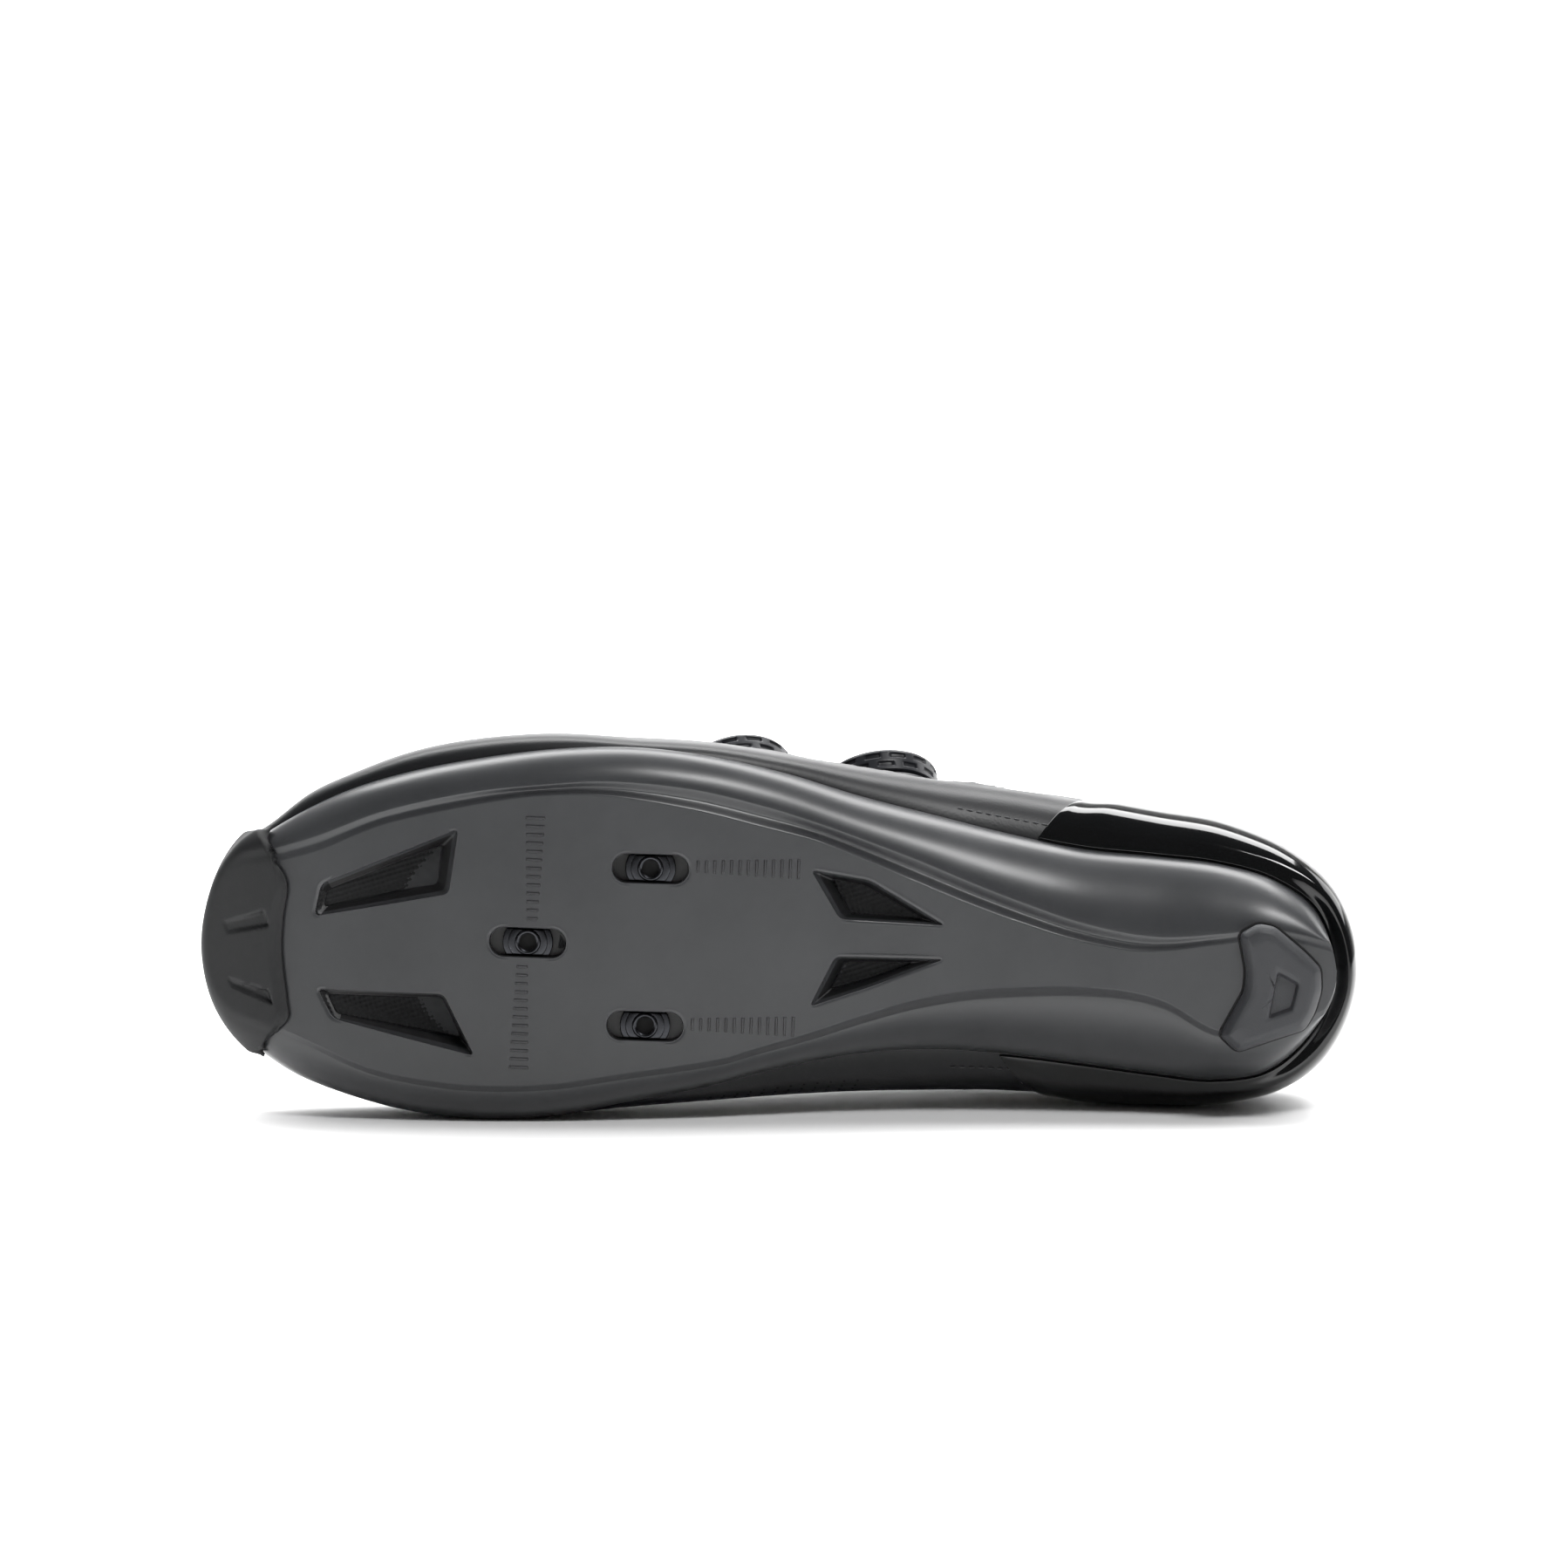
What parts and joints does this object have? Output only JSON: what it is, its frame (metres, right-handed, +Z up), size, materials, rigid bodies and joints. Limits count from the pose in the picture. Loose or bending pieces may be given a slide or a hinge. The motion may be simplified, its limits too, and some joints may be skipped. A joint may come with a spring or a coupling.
{
  "type": "cycling shoe",
  "caption": "Left road cycling shoe with a stiff vented sole, slots for a cleat, a glossy heel cup and dial lacing, lying on its inner side.",
  "frame": {"origin": "centre of the object's box, on the floor the shoe lies on", "axes": "+X from the toe to the heel, +Y from the sole to the instep, +Z up, towards the outer side of the foot"},
  "size_m": [0.2774, 0.0996, 0.0914],
  "materials": {
    "leather": "satin synthetic leather",
    "composite": "satin moulded composite",
    "foam": "knit-topped foam",
    "tongue_fabric": "matt knit over padding",
    "gloss_cup": "high gloss",
    "rubber": "matt moulded rubber",
    "black_steel": "black oxide, bright edges",
    "dial_plastic": "fine-textured",
    "cord": "smooth braided cord"
  },
  "bodies": {
    "root": {"upper": "leather", "sole_plate": "composite", "insole": "foam", "tongue": "tongue_fabric", "heel_counter": "gloss_cup", "toe_bumper": "rubber", "heel_pad": "rubber", "cleat_nut_front": "black_steel", "cleat_nut_rear_outer": "black_steel", "cleat_nut_rear_inner": "black_steel", "dial_base_front": "dial_plastic", "dial_knob_front": "dial_plastic", "dial_base_rear": "dial_plastic", "dial_knob_rear": "dial_plastic", "lace_front": "cord", "lace_rear": "cord", "lace_guide_inner_front": "dial_plastic", "lace_guide_inner_rear": "dial_plastic", "lace_anchor_front": "dial_plastic", "lace_anchor_rear": "dial_plastic"}
  },
  "joints": []
}
